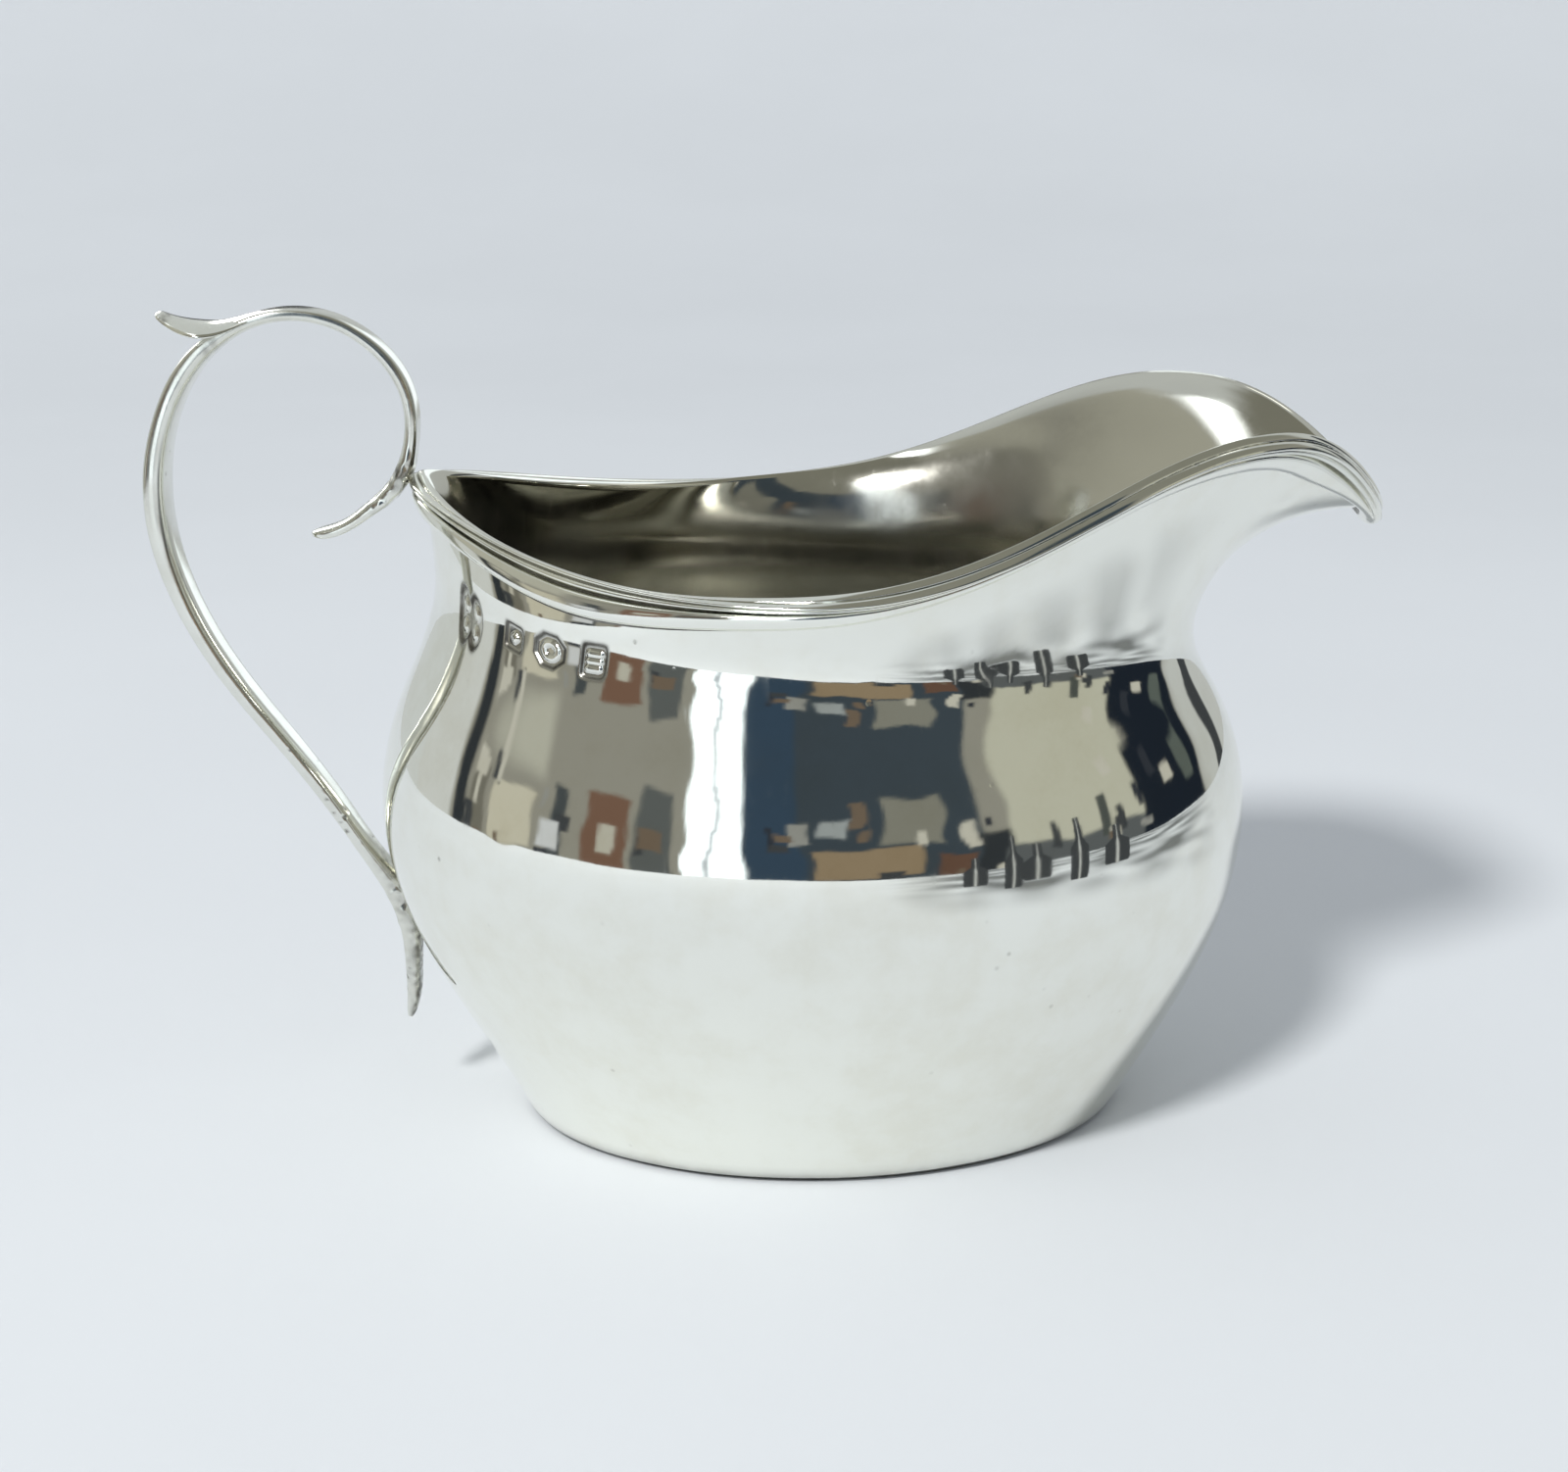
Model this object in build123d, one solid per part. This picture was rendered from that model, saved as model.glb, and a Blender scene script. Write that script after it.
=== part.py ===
from build123d import *
import os
from math import cos, pi, radians, sin

# Silver cream jug, helmet shape, oval in plan. Millimetres.
# Origin at the middle of the underside. +X runs to the lip, +Z up, and the jug is the same on both sides of XZ.

# Sheet and strip
WALL = 0.8
BASE_SHEET = 0.9
BASE_INSET = 0.74
MOULDING_STAND = 1.1
GROOVE_DEPTH = 0.6

# The bowl, from the underside to the neck: height, reach to the back, reach to the front, half width
BOWL_OVALS = [
    (0.0, 31.0, 31.0, 23.7),
    (10.0, 36.3, 36.7, 29.3),
    (22.0, 42.5, 42.2, 35.0),
    (34.0, 45.0, 44.0, 37.1),
    (44.0, 43.0, 41.3, 34.8),
    (54.0, 38.5, 38.5, 31.7),
]
NECK_OVAL = BOWL_OVALS[-1]
NECK_TILT = 3.5

# The rim, seen from above
RIM_BACK = 40.0
RIM_TIP = 57.6
RIM_WIDEST_X = 6.0
RIM_HALF_WIDTH = 34.0
SPOUT_POINT = 1.35
BACK_POINT = 1.35

# The rim, seen from the side
RIM_LOW = 61.0
RIM_LOW_X = -8.0
RIM_BACK_HEIGHT = 67.6
BACK_RISE = 2.3
SHOULDER_HEIGHT = 73.0
SHOULDER_X = 41.0
SHOULDER_RISE = 1.4
TIP_HEIGHT = 62.4
TIP_FALL = 2.45

# How far the wall leans out by the time it reaches the rim
LEAN_AT_TIP = radians(100)
LEAN_AT_SIDES = radians(35)

# The moulding, down the wall from the rim: it broadens from the handle to the spout and narrows again at the lip
MOULDING_AT_BACK = 2.8
MOULDING_AT_SPOUT = 4.0
MOULDING_NARROWS = 2.3
NARROWING = 10
GROOVE_TOP = 0.43
GROOVE_BOTTOM = 0.53

# The handle's strap along its middle line, from the upper tail over the loop and down the stem to the lower tail:
# distance along the jug, height, width across, thickness
STRAP = [
    (-50.9, 61.6, 2.4, 0.8),
    (-49.4, 61.7, 3.2, 1.1),
    (-47.5, 62.3, 3.5, 1.2),
    (-45.0, 63.9, 3.7, 1.3),
    (-42.5, 65.9, 3.9, 1.5),
    (-41.3, 67.7, 4.0, 1.6),
    (-40.6, 69.8, 4.0, 1.5),
    (-40.2, 72.6, 4.1, 1.4),
    (-40.7, 76.2, 4.1, 1.4),
    (-43.3, 80.2, 4.1, 1.4),
    (-47.4, 82.9, 4.1, 1.35),
    (-52.5, 83.7, 4.3, 1.3),
    (-57.2, 82.4, 4.6, 1.5),
    (-61.5, 79.2, 5.0, 2.1),
    (-64.5, 74.1, 5.4, 2.2),
    (-66.0, 68.0, 5.6, 2.4),
    (-65.9, 62.0, 5.6, 2.4),
    (-64.0, 55.0, 5.4, 2.2),
    (-60.3, 47.7, 5.1, 2.0),
    (-55.0, 40.2, 4.8, 1.8),
    (-50.0, 33.0, 4.5, 1.7),
    (-46.3, 27.0, 4.3, 1.8),
    (-43.3, 21.5, 4.1, 2.5),
    (-42.9, 15.5, 3.8, 1.6),
    (-43.1, 11.5, 3.4, 1.3),
    (-43.6, 9.2, 2.4, 0.8),
]

# The thumbpiece's middle line, from where it feathers into the loop to its turned-up tip
LEAF = [
    (-54.0, 83.85, 3.4, 0.3),
    (-56.5, 83.1, 4.8, 0.5),
    (-59.0, 82.4, 7.0, 0.8),
    (-61.4, 82.5, 8.2, 0.9),
    (-63.4, 83.1, 6.6, 0.8),
    (-64.9, 84.0, 2.8, 0.5),
]

# Shape of the strap's and the leaf's sections
STRAP_SIDE = 0.35
LEAF_DISH = 0.07

STATIONS = 40
LEVELS = 36
RIM_RINGS = 4
SURFACE_TOLERANCE = 0.03
RIM_STATIONS = 24
SIDE_ROOM = 4.0
SECTIONS_PER_STATION = 3
MIRROR = Plane.XZ


def rim_height(x):
    """Height of the rim above the table at a distance along the jug."""
    if x < RIM_LOW_X:
        run = (RIM_LOW_X - x) / (RIM_LOW_X + RIM_BACK)
        return RIM_LOW + (RIM_BACK_HEIGHT - RIM_LOW) * run**BACK_RISE
    if x < SHOULDER_X:
        run = (x - RIM_LOW_X) / (SHOULDER_X - RIM_LOW_X)
        return RIM_LOW + (SHOULDER_HEIGHT - RIM_LOW) * (1 - cos(pi * run**SHOULDER_RISE)) / 2
    run = (x - SHOULDER_X) / (RIM_TIP - SHOULDER_X)
    return SHOULDER_HEIGHT - (SHOULDER_HEIGHT - TIP_HEIGHT) * run**TIP_FALL


def rim_point(turn):
    """The rim at an angle round the jug, 0 at the lip."""
    if cos(turn) > 0:
        x = RIM_WIDEST_X + (RIM_TIP - RIM_WIDEST_X) * cos(turn)
        y = RIM_HALF_WIDTH * abs(sin(turn)) ** SPOUT_POINT
    else:
        x = RIM_WIDEST_X + (RIM_WIDEST_X + RIM_BACK) * cos(turn)
        y = RIM_HALF_WIDTH * abs(sin(turn)) ** BACK_POINT
    return Vector(x, y, rim_height(x))


def oval_point(turn, height, back, front, half_width, tilt=0.0):
    """A point of one of the bowl's ovals at an angle round the jug."""
    middle = (front - back) / 2
    x = middle + (front + back) / 2 * cos(turn)
    return Vector(x, half_width * sin(turn), height - tilt * cos(turn))


def neck_point(turn):
    """The narrowest line of the jug: it lies lower in front than behind."""
    return oval_point(turn, *NECK_OVAL, NECK_TILT)


def upper_point(turn, rise):
    """The wall between neck and rim: it stands up at the sides and sweeps out under the lip."""
    start = neck_point(turn)
    end = rim_point(turn)
    frontness = max(0.0, cos(turn)) ** 2
    lean = LEAN_AT_SIDES + (LEAN_AT_TIP - LEAN_AT_SIDES) * frontness
    out = (1 - cos(lean * rise)) / (1 - cos(lean))
    up = sin(lean * rise) / sin(lean)
    return Vector(
        start.X + (end.X - start.X) * out,
        start.Y + (end.Y - start.Y) * out,
        start.Z + (end.Z - start.Z) * up,
    )


def meridian(turn):
    """The outside of the wall from the underside up to the rim, at an angle round the jug."""
    points = [oval_point(turn, *oval) for oval in BOWL_OVALS[:-1]] + [neck_point(turn)]
    points += [upper_point(turn, (step + 1) / RIM_RINGS) for step in range(RIM_RINGS)]
    return Spline(points)


def half_wall():
    """The outside of the jug's left half, from the lip round to the back."""
    points = []
    for station in range(STATIONS + 1):
        line = meridian(pi * station / STATIONS)
        points.append([line @ (level / LEVELS) for level in range(LEVELS + 1)])
    return Face.make_surface_from_array_of_points(points, tol=SURFACE_TOLERANCE, min_deg=3, max_deg=5)


def wall_shell():
    """The whole outside of the jug as one open shell, left and right halves joined."""
    left = half_wall()
    return Shell([left, left.mirror(MIRROR)])


def moulding_depth(x):
    """How far down the wall the moulding reaches at a distance along the jug."""
    share = min(1.0, max(0.0, (x + RIM_BACK) / (RIM_BACK + RIM_TIP)))
    broad = MOULDING_AT_BACK + (MOULDING_AT_SPOUT - MOULDING_AT_BACK) * share
    return broad - MOULDING_NARROWS * share**NARROWING


def strip_below_rim(top, bottom):
    """A block right across the jug that holds what lies between two shares of the moulding's depth."""
    first = -RIM_BACK - SIDE_ROOM
    step = (RIM_TIP + SIDE_ROOM - first) / RIM_STATIONS
    places = [first + step * station for station in range(RIM_STATIONS + 1)]
    upper = Spline([(x, 0, rim_height(x) - top * moulding_depth(x)) for x in places])
    lower = Spline([(x, 0, rim_height(x) - bottom * moulding_depth(x)) for x in places])
    ends = [Line(upper @ 0, lower @ 0), Line(upper @ 1, lower @ 1)]
    face = Face(Wire([upper, lower, *ends]))
    return extrude(face, amount=SIDE_ROOM + RIM_HALF_WIDTH, dir=(0, 1, 0), both=True)


def make_moulding(shell):
    """A flat strip round the outside of the rim, with one groove that divides it into two reeds."""
    strip = Solid.thicken(shell, MOULDING_STAND) & strip_below_rim(-1, 1)
    skin = Solid.thicken(shell, MOULDING_STAND) - Solid.thicken(shell, MOULDING_STAND - GROOVE_DEPTH)
    return strip - (skin & strip_below_rim(GROOVE_TOP, GROOVE_BOTTOM))


def make_base():
    """The flat oval sheet that closes the foot, just inside the wall."""
    height, back, front, half_width = BOWL_OVALS[0]
    middle = (front - back) / 2
    outline = Ellipse((front + back) / 2 - BASE_INSET, half_width - BASE_INSET)
    return extrude(Pos(middle, 0, height) * outline, amount=BASE_SHEET).solid()


def strap_section(place, across, thick):
    """Flat towards the fingers, crowned on the outside."""
    side = thick * STRAP_SIDE
    corners = [(-across / 2, thick / 2), (across / 2, thick / 2)]
    shoulders = [(across / 2, thick / 2 - side), (-across / 2, thick / 2 - side)]
    edges = [
        Line(corners[0], corners[1]),
        Line(corners[1], shoulders[0]),
        ThreePointArc(shoulders[0], (0, -thick / 2), shoulders[1]),
        Line(shoulders[1], corners[0]),
    ]
    return place.from_local_coords(Wire(edges))


def leaf_section(place, across, thick):
    """Dished on top, so that the thumb sits in it."""
    dish = across * LEAF_DISH
    ends = [(-across / 2, -dish), (across / 2, -dish)]
    edges = [
        ThreePointArc(ends[0], (0, -thick / 2 + dish / 2), ends[1]),
        ThreePointArc(ends[1], (0, thick / 2 + dish / 2), ends[0]),
    ]
    return place.from_local_coords(Wire(edges))


def bar(stations, section):
    """A bar in the jug's middle plane, lofted through many sections between its stations."""
    edge = Spline([(x, across / 2, z) for x, z, across, thick in stations])
    crown = Spline([(x, thick, z) for x, z, across, thick in stations])
    count = SECTIONS_PER_STATION * (len(stations) - 1)
    sections = []
    for index in range(count + 1):
        run = index / count
        point = edge @ run
        heading = edge % run
        place = Plane(origin=(point.X, 0, point.Z), x_dir=(0, 1, 0), z_dir=(heading.X, 0, heading.Z))
        sections.append(section(place, 2 * point.Y, (crown @ run).Y))
    return Solid.make_loft(sections)


def main():
    """Build the five pieces and write one file for each."""
    os.makedirs("parts", exist_ok=True)
    shell = wall_shell()
    wall = Solid.thicken(shell, -WALL)
    moulding = make_moulding(shell)
    handle = bar(STRAP, strap_section) - wall - moulding
    pieces = {
        "body": wall,
        "base_plate": make_base(),
        "rim_moulding": moulding,
        "handle": handle,
        "thumbpiece": bar(LEAF, leaf_section) - handle,
    }
    for name, piece in pieces.items():
        export_step(piece, f"parts/{name}.step")


main()
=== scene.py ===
import random
from math import atan2, cos, exp, hypot, pi, radians, sin

import bmesh
import bpy
import numpy as np
from bpy.props import FloatProperty, FloatVectorProperty, IntProperty, PointerProperty
from mathutils import Matrix, Vector, noise


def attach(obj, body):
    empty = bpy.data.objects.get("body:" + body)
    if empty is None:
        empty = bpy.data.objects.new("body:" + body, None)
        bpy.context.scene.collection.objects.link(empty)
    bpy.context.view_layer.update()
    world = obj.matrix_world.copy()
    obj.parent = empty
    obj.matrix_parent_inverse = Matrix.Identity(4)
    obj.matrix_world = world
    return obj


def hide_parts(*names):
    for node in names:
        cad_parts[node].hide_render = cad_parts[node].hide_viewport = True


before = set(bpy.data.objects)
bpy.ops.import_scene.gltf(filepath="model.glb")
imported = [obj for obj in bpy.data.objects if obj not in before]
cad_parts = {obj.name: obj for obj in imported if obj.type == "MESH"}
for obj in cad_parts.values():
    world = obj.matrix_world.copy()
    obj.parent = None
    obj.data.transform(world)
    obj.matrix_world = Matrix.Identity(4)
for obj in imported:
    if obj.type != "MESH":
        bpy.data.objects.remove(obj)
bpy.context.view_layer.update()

bl_info = {
    "name": "Silver cream jug",
    "version": (1, 0, 0),
    "blender": (4, 5, 0),
    "location": "3D View > Sidebar > Cream jug",
    "description": "Builds a small helmet-shaped silver cream jug, piece by piece, with its table and light",
    "category": "Object",
}

MM = 0.001

# The bowl's ovals, from the underside to the neck: height, reach to the back, reach to the front, half width,
# and how far the neck's line drops in front and rises behind
BOWL_OVALS = [
    (0.0, 31.0, 31.0, 23.7),
    (10.0, 36.3, 36.7, 29.3),
    (22.0, 42.5, 42.2, 35.0),
    (34.0, 45.0, 44.0, 37.1),
    (44.0, 43.0, 41.3, 34.8),
    (54.0, 38.5, 38.5, 31.7, 3.5),
]
FOOT = BOWL_OVALS[0]

# The rim: in plan, then from the side
RIM_BACK = 40.0
RIM_TIP = 57.6
RIM_WIDEST_X = 6.0
RIM_HALF_WIDTH = 34.0
RIM_POINT = 1.35
RIM_LOW = 61.0
RIM_LOW_X = -8.0
RIM_BACK_HEIGHT = 67.6
BACK_RISE = 2.3
SHOULDER_HEIGHT = 73.0
SHOULDER_X = 41.0
SHOULDER_RISE = 1.4
TIP_HEIGHT = 62.4
TIP_FALL = 2.45
LEAN_AT_TIP = radians(100)
LEAN_AT_SIDES = radians(35)
RIM_RINGS = 4

# The handle's strap along its middle line: distance along the jug, height, width across, thickness
STRAP = [
    (-50.9, 61.6, 2.4, 0.8), (-49.4, 61.7, 3.2, 1.1), (-47.5, 62.3, 3.5, 1.2), (-45.0, 63.9, 3.7, 1.3),
    (-42.5, 65.9, 3.9, 1.5), (-41.3, 67.7, 4.0, 1.6), (-40.6, 69.8, 4.0, 1.5), (-40.2, 72.6, 4.1, 1.4),
    (-40.7, 76.2, 4.1, 1.4), (-43.3, 80.2, 4.1, 1.4), (-47.4, 82.9, 4.1, 1.35), (-52.5, 83.7, 4.3, 1.3),
    (-57.2, 82.4, 4.6, 1.5), (-61.5, 79.2, 5.0, 2.1), (-64.5, 74.1, 5.4, 2.2), (-66.0, 68.0, 5.6, 2.4),
    (-65.9, 62.0, 5.6, 2.4), (-64.0, 55.0, 5.4, 2.2), (-60.3, 47.7, 5.1, 2.0), (-55.0, 40.2, 4.8, 1.8),
    (-50.0, 33.0, 4.5, 1.7), (-46.3, 27.0, 4.3, 1.8), (-43.3, 21.5, 4.1, 2.3), (-42.9, 15.5, 3.8, 1.6),
    (-43.1, 11.5, 3.4, 1.3), (-43.6, 9.2, 2.4, 0.8),
]

# The thumbpiece's middle line, from where it feathers into the loop to its turned-up tip
LEAF = [
    (-54.0, 83.85, 3.4, 0.3), (-56.5, 83.1, 4.8, 0.5), (-59.0, 82.4, 7.0, 0.8),
    (-61.4, 82.5, 8.2, 0.9), (-63.4, 83.1, 6.6, 0.8), (-64.9, 84.0, 2.8, 0.5),
]

# The moulding's section: share of its depth down from the rim, share of its stand off the wall
REEDS = [
    (0.0, 0.0), (0.0, 0.4), (0.0, 0.7), (0.012, 0.84), (0.03, 0.91), (0.06, 0.93),
    (0.085, 0.87), (0.105, 0.72), (0.118, 0.56), (0.13, 0.52), (0.142, 0.56), (0.155, 0.7),
    (0.175, 0.84), (0.205, 0.91), (0.24, 0.91), (0.27, 0.84), (0.295, 0.68), (0.31, 0.42),
    (0.322, 0.14), (0.335, 0.05), (0.355, 0.05), (0.37, 0.14), (0.382, 0.45), (0.4, 0.72),
    (0.43, 0.87), (0.49, 0.95), (0.58, 0.99), (0.68, 1.0), (0.78, 0.97), (0.86, 0.89),
    (0.915, 0.7), (0.94, 0.42), (0.95, 0.14), (0.965, 0.07), (1.0, 0.05), (1.01, 0.0),
]

# Struck marks beside the handle, all plain shapes: turn round the jug in degrees, distance below the rim,
# half width, half height, outline, motif
MARKS = [
    (-150.5, 9.6, 2.5, 2.8, "lobes", "dots"),
    (-138.5, 8.2, 1.3, 1.3, "square", "lozenge"),
    (-131.0, 7.8, 1.85, 1.6, "octagon", "ring"),
    (-123.0, 7.7, 1.3, 1.7, "square", "bars"),
]


# ---- sizes and colours a user may change


def length(name, description, millimetres):
    """A length that a user may change."""
    return FloatProperty(name=name, description=description, default=millimetres * MM, unit="LENGTH")


def colour(name, description, tone):
    """A colour that a user may change."""
    return FloatVectorProperty(name=name, description=description, default=tone, subtype="COLOR", size=3)


def count(name, description, default, least, most):
    """A number of mesh divisions that a user may change."""
    return IntProperty(name=name, description=description, default=default, min=least, max=most)


class JugSizes(bpy.types.PropertyGroup):
    wall: length("Wall", "Thickness of the sheet", 0.8)
    base_sheet: length("Base sheet", "Thickness of the base", 0.9)
    base_inset: length("Base inset", "How far the base stops inside the foot", 0.72)
    moulding_stand: length("Moulding stand", "How far the moulding stands off the wall", 1.08)
    moulding_at_back: length("Moulding at back", "Depth of the moulding by the handle", 3.4)
    moulding_at_side: length("Moulding at side", "Depth of the moulding at the spout's sides", 5.8)
    moulding_at_tip: length("Moulding at lip", "Depth of the moulding at the tip of the lip", 2.6)
    mark_depth: length("Mark depth", "How deep the marks are struck", 0.24)
    dent_depth: length("Dent depth", "Depth of the shallow dents of long use", 0.05)
    turns: count("Turns", "Divisions round the jug", 220, 64, 720)
    levels: count("Levels", "Divisions from foot to rim", 82, 40, 300)


class JugColours(bpy.types.PropertyGroup):
    silver: colour("Silver", "Clean polished silver", (0.90, 0.905, 0.845))
    warm_silver: colour("Warm silver", "Silver with a first film of tarnish", (0.80, 0.785, 0.69))
    # This colour also paints shade: at the foot, deep inside the bowl, under the moulding's bead and on the
    # handle's stem where it faces the bowl.
    tarnish: colour("Tarnish", "Grey-brown tarnish in grooves and joints", (0.085, 0.08, 0.07))
    inside: colour("Inside", "The warmer, duller inside of the bowl", (0.72, 0.71, 0.645))
    table: colour("Table", "Pale sheet under the jug", (0.79, 0.82, 0.85))


class JugStudio(bpy.types.PropertyGroup):
    window: FloatProperty(
        name="Window", description="Strength of the main soft light", default=44.0, unit="POWER"
    )
    sky: FloatProperty(name="Sky", description="Strength of the light from all round", default=0.47)
    lens: FloatProperty(name="Lens", description="Focal length in millimetres", default=60.75)


# ---- shape of the jug, in millimetres


def rim_height(x):
    """Height of the rim above the table at a distance along the jug."""
    if x < RIM_LOW_X:
        run = (RIM_LOW_X - x) / (RIM_LOW_X + RIM_BACK)
        return RIM_LOW + (RIM_BACK_HEIGHT - RIM_LOW) * run**BACK_RISE
    if x < SHOULDER_X:
        run = (x - RIM_LOW_X) / (SHOULDER_X - RIM_LOW_X)
        return RIM_LOW + (SHOULDER_HEIGHT - RIM_LOW) * (1 - cos(pi * run**SHOULDER_RISE)) / 2
    run = (x - SHOULDER_X) / (RIM_TIP - SHOULDER_X)
    return SHOULDER_HEIGHT - (SHOULDER_HEIGHT - TIP_HEIGHT) * run**TIP_FALL


def rim_point(turn):
    """The rim at an angle round the jug, 0 at the lip."""
    reach = RIM_TIP - RIM_WIDEST_X if cos(turn) > 0 else RIM_BACK + RIM_WIDEST_X
    x = RIM_WIDEST_X + reach * cos(turn)
    side = 1 if sin(turn) >= 0 else -1
    return np.array([x, side * RIM_HALF_WIDTH * abs(sin(turn)) ** RIM_POINT, rim_height(x)])


def oval_point(turn, height, back, front, half_width, tilt=0.0):
    """A point of one of the bowl's ovals at an angle round the jug."""
    x = (front - back) / 2 + (front + back) / 2 * cos(turn)
    return np.array([x, half_width * sin(turn), height - tilt * cos(turn)])


def upper_point(turn, rise):
    """The wall between neck and rim: it stands up at the sides and sweeps out under the lip."""
    start = oval_point(turn, *BOWL_OVALS[-1])
    lean = LEAN_AT_SIDES + (LEAN_AT_TIP - LEAN_AT_SIDES) * max(0.0, cos(turn)) ** 2
    out = (1 - cos(lean * rise)) / (1 - cos(lean))
    up = sin(lean * rise) / sin(lean)
    return start + (rim_point(turn) - start) * np.array([out, out, up])


def smooth_line(points, places):
    """A smooth line through points, read at places given as shares of its chord length."""
    points = np.array(points, float)
    spans = np.linalg.norm(np.diff(points, axis=0), axis=1)
    knots = np.concatenate([[0.0], np.cumsum(spans)])
    count = len(points)
    lines = np.zeros((count, count))
    wanted = np.zeros_like(points)
    for end, near in ((0, range(4)), (count - 1, range(count - 4, count))):
        near = list(near)
        powers = np.vander(knots[near] - knots[end], 4, increasing=True)
        lines[end, end] = 1.0
        wanted[end] = np.linalg.solve(powers, points[near])[1]
    for i in range(1, count - 1):
        lines[i, i - 1] = 1 / spans[i - 1]
        lines[i, i] = 2 * (1 / spans[i - 1] + 1 / spans[i])
        lines[i, i + 1] = 1 / spans[i]
        before = (points[i] - points[i - 1]) / spans[i - 1] ** 2
        wanted[i] = 3 * (before + (points[i + 1] - points[i]) / spans[i] ** 2)
    slopes = np.linalg.solve(lines, wanted)
    reads = np.clip(np.asarray(places, float), 0, 1) * knots[-1]
    at = np.clip(np.searchsorted(knots, reads, side="right") - 1, 0, count - 2)
    span = spans[at][:, None]
    u = (reads - knots[at])[:, None] / span
    first = (2 * u**3 - 3 * u**2 + 1) * points[at] + (u**3 - 2 * u**2 + u) * span * slopes[at]
    return first + (-2 * u**3 + 3 * u**2) * points[at + 1] + (u**3 - u**2) * span * slopes[at + 1]


MERIDIAN_READS = 260


class Meridian:
    """The outside of the wall from foot to rim at one angle, read by distance below the rim."""

    def __init__(self, turn):
        points = [oval_point(turn, *oval) for oval in BOWL_OVALS]
        points += [upper_point(turn, (step + 1) / RIM_RINGS) for step in range(RIM_RINGS)]
        self.line = smooth_line(points, np.linspace(0, 1, MERIDIAN_READS))[::-1]
        steps = np.linalg.norm(np.diff(self.line, axis=0), axis=1)
        self.below = np.concatenate([[0.0], np.cumsum(steps)])
        self.length = self.below[-1]

    def read(self, below):
        return np.stack([np.interp(below, self.below, self.line[:, axis]) for axis in range(3)], axis=-1)


TURN_STEP = 0.004
BELOW_STEP = 0.15


def wall_frame(turn, below):
    """Places on the wall at distances below the rim, and the directions straight out there."""
    here = Meridian(turn)
    below = np.asarray(below, float)
    places = here.read(below)
    along = Meridian(turn + TURN_STEP).read(below) - Meridian(turn - TURN_STEP).read(below)
    low = np.clip(below - BELOW_STEP, 0, here.length)
    high = np.clip(below + BELOW_STEP, 0, here.length)
    down = here.read(high) - here.read(low)
    out = np.cross(down, along)
    out /= np.linalg.norm(out, axis=-1, keepdims=True)
    return places, out


def smooth_step(low, high, value):
    """0 at low, 1 at high, smooth between; low may be the larger of the two."""
    share = min(1.0, max(0.0, (value - low) / (high - low)))
    return share * share * (3 - 2 * share)


# ---- mesh helpers


def make_piece(name, verts, faces, material, node, grime_and_shade_values=None):
    """A smooth mesh piece, in metres, that rides on the jug and stands for one of its nodes."""
    mesh = bpy.data.meshes.new(name)
    mesh.from_pydata([tuple(float(c) for c in v) for v in verts], [], faces)
    mesh.validate()
    mesh.update()
    if grime_and_shade_values is not None:
        layer = mesh.attributes.new("grime_and_shade", "FLOAT", "POINT")
        layer.data.foreach_set("value", np.asarray(grime_and_shade_values, dtype=np.float32))
    made = bmesh.new()
    made.from_mesh(mesh)
    bmesh.ops.recalc_face_normals(made, faces=made.faces)
    made.to_mesh(mesh)
    made.free()
    for face in mesh.polygons:
        face.use_smooth = True
    mesh.materials.append(material)
    piece = show(name, mesh)
    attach(piece, "root")
    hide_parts(node)
    return piece


def show(name, data):
    """An object for the data, in the scene."""
    item = bpy.data.objects.new(name, data)
    bpy.context.scene.collection.objects.link(item)
    return item


def grid_faces(rows, columns, first=0):
    """Four-sided faces between rows of points that are open at both ends."""
    return [
        (a, a + 1, a + columns + 1, a + columns)
        for row in range(rows - 1)
        for a in range(first + row * columns, first + (row + 1) * columns - 1)
    ]


def ring_faces(ring_count, ring_size, closed_rings=False):
    """Four-sided faces between rings of points that each close on themselves."""
    faces = []
    for ring in range(ring_count if closed_rings else ring_count - 1):
        after = (ring + 1) % ring_count
        for i in range(ring_size):
            j = (i + 1) % ring_size
            here, there = ring * ring_size, after * ring_size
            faces.append((here + i, here + j, there + j, there + i))
    return faces


def capped_faces(ring_count, ring_size):
    """The faces of a closed bar: its rings' sides and one face over each end."""
    caps = [tuple(range(ring_size)), tuple(range((ring_count - 1) * ring_size, ring_count * ring_size))]
    return ring_faces(ring_count, ring_size) + caps


def ripple(place, size, seed):
    """Smooth noise from -1 to 1 that is the same on every run."""
    shift = Vector((seed * 7.13, seed * 3.71, seed * 5.37))
    return noise.noise(Vector(place) / size + shift)


# ---- materials


def add(tree, kind, **values):
    """A node, set out in columns from left to right in the order of making."""
    column, row = divmod(len(tree.nodes), 8)
    node = tree.nodes.new(kind)
    node.location = (220 * column - 1700, 900 - 260 * row)
    for name, value in values.items():
        setattr(node, name, value)
    return node


def blend_colour(tree, factor, first, second, mode="MIX"):
    """A colour mix; first and second are sockets or colours, factor a socket or number."""
    node = add(tree, "ShaderNodeMix", data_type="RGBA", blend_type=mode, clamp_factor=True)
    for socket, value in ((node.inputs[0], factor), (node.inputs[6], first), (node.inputs[7], second)):
        if isinstance(value, bpy.types.NodeSocket):
            tree.links.new(value, socket)
        elif isinstance(value, (int, float)):
            socket.default_value = value
        else:
            socket.default_value = (*value, 1.0)
    return node.outputs[2]


def spread(tree, socket, low, high, to_low, to_high):
    """Maps a value from one range to another, clamped."""
    node = add(tree, "ShaderNodeMapRange")
    node.interpolation_type = "SMOOTHSTEP"
    tree.links.new(socket, node.inputs["Value"])
    for name, value in (("From Min", low), ("From Max", high), ("To Min", to_low), ("To Max", to_high)):
        node.inputs[name].default_value = value
    return node.outputs["Result"]


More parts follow.
